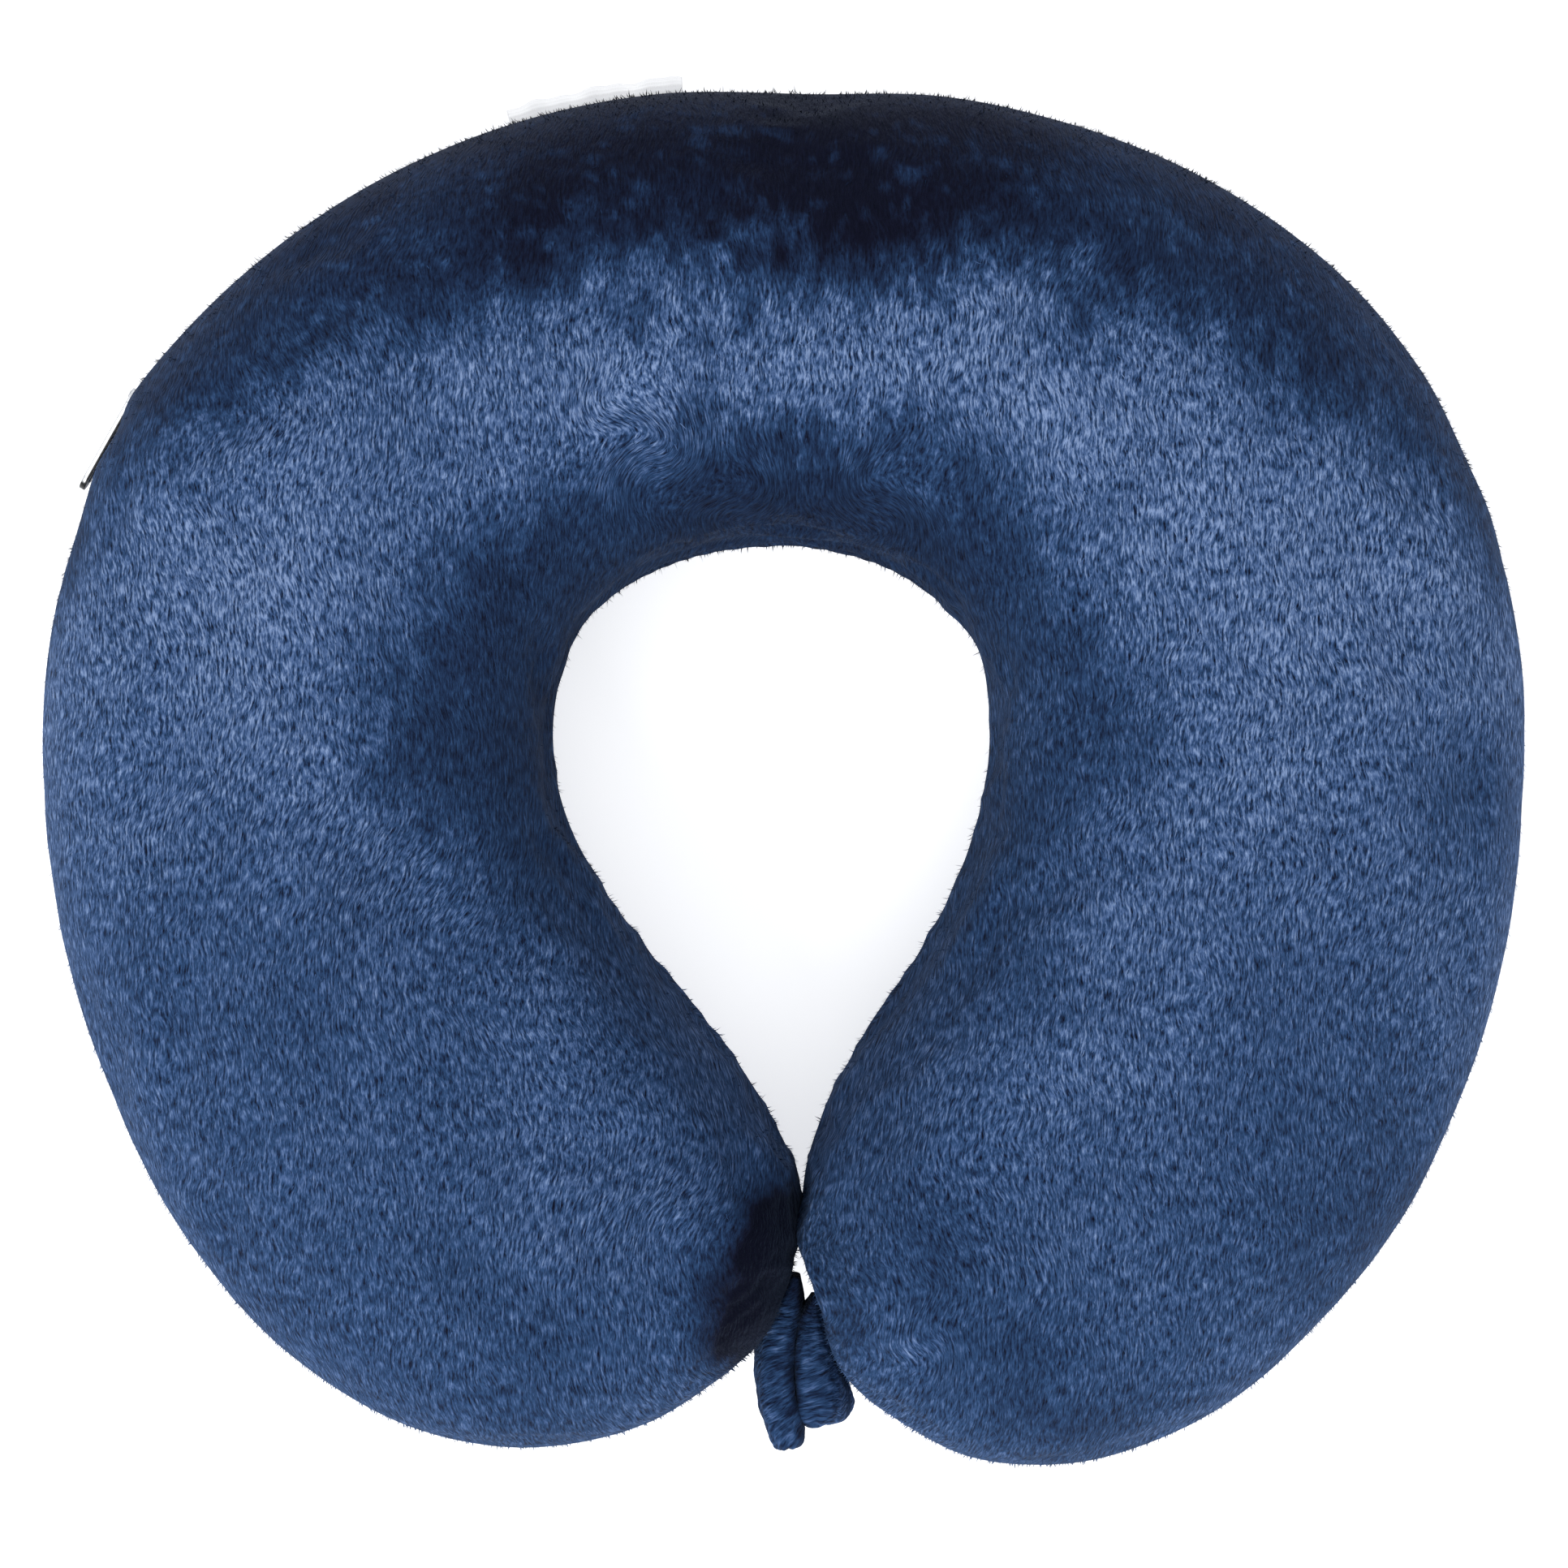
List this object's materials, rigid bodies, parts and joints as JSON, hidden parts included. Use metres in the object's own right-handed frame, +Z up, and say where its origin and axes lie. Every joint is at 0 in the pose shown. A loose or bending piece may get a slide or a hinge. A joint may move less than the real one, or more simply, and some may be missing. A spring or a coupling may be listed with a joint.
{
  "type": "travel neck pillow",
  "caption": "U shaped plush travel neck pillow with a zipped cover over a foam core, and two closure tabs with a press stud at the tips.",
  "frame": {"origin": "centre of the pillow's outline, on the surface that it lies on", "axes": "+Z up, +Y towards the back of the neck, tips of the arms on the -Y side, +X towards the right arm seen from above with +Y away"},
  "size_m": [0.3005, 0.2827, 0.1],
  "materials": {
    "foam": "open cell memory foam, matt",
    "liner_knit": "thin stretch knit",
    "plush": "short brushed plush pile with a silky sheen",
    "zip_tape": "woven polyester tape",
    "zip_coil": "moulded nylon coil",
    "zip_metal": "plated, slightly worn",
    "label_satin": "white woven satin ribbon, blank",
    "snap_plastic": "smooth moulded"
  },
  "bodies": {
    "back": {"foam_core_back": "foam", "liner_back": "liner_knit", "cover_top_back": "plush", "cover_bottom_back": "plush", "zip_tape_upper": "zip_tape", "zip_tape_lower": "zip_tape", "zip_coil_upper": "zip_coil", "zip_coil_lower": "zip_coil", "zip_top_stops": "zip_metal", "zip_bottom_stop": "zip_metal", "care_label": "label_satin"},
    "left_arm": {"foam_core_left": "foam", "liner_left": "liner_knit", "cover_top_left": "plush", "cover_bottom_left": "plush", "left_tab_root": "plush"},
    "right_arm": {"foam_core_right": "foam", "liner_right": "liner_knit", "cover_top_right": "plush", "cover_bottom_right": "plush", "right_tab_root": "plush"},
    "left_tab": {"left_tab": "plush", "snap_stud": "snap_plastic", "snap_stud_cap": "snap_plastic"},
    "right_tab": {"right_tab": "plush", "snap_socket": "snap_plastic", "snap_socket_cap": "snap_plastic"},
    "zip_slider": {"zip_slider": "zip_metal"},
    "zip_pull": {"zip_pull": "zip_metal"}
  },
  "joints": [
    {"name": "left_arm_open", "type": "hinge", "parent": "back", "child": "left_arm", "pos_m": [-0.1452, 0.0454, 0.049], "axis": [0, 0, -1], "range_deg": [0, 24], "stiffness_Nm_per_rad": 1.5},
    {"name": "right_arm_open", "type": "hinge", "parent": "back", "child": "right_arm", "pos_m": [0.1454, 0.0454, 0.049], "axis": [0, 0, 1], "range_deg": [0, 24], "stiffness_Nm_per_rad": 1.5},
    {"name": "left_tab_swing", "type": "hinge", "parent": "left_arm", "child": "left_tab", "pos_m": [-0.0046, -0.1192, 0.049], "axis": [0, 0, -1], "range_deg": [0, 40]},
    {"name": "right_tab_swing", "type": "hinge", "parent": "right_arm", "child": "right_tab", "pos_m": [0.0085, -0.1178, 0.049], "axis": [0, 0, 1], "range_deg": [0, 14]},
    {"name": "zip_slide", "type": "hinge", "parent": "back", "child": "zip_slider", "pos_m": [-0.01, -0.0144, 0.049], "axis": [0, 0, -1], "range_deg": [0, 54.5]},
    {"name": "zip_pull_swing", "type": "hinge", "parent": "zip_slider", "child": "zip_pull", "pos_m": [-0.13206, 0.07559, 0.049], "axis": [0, 0, -1], "range_deg": [0, 165]}
  ]
}
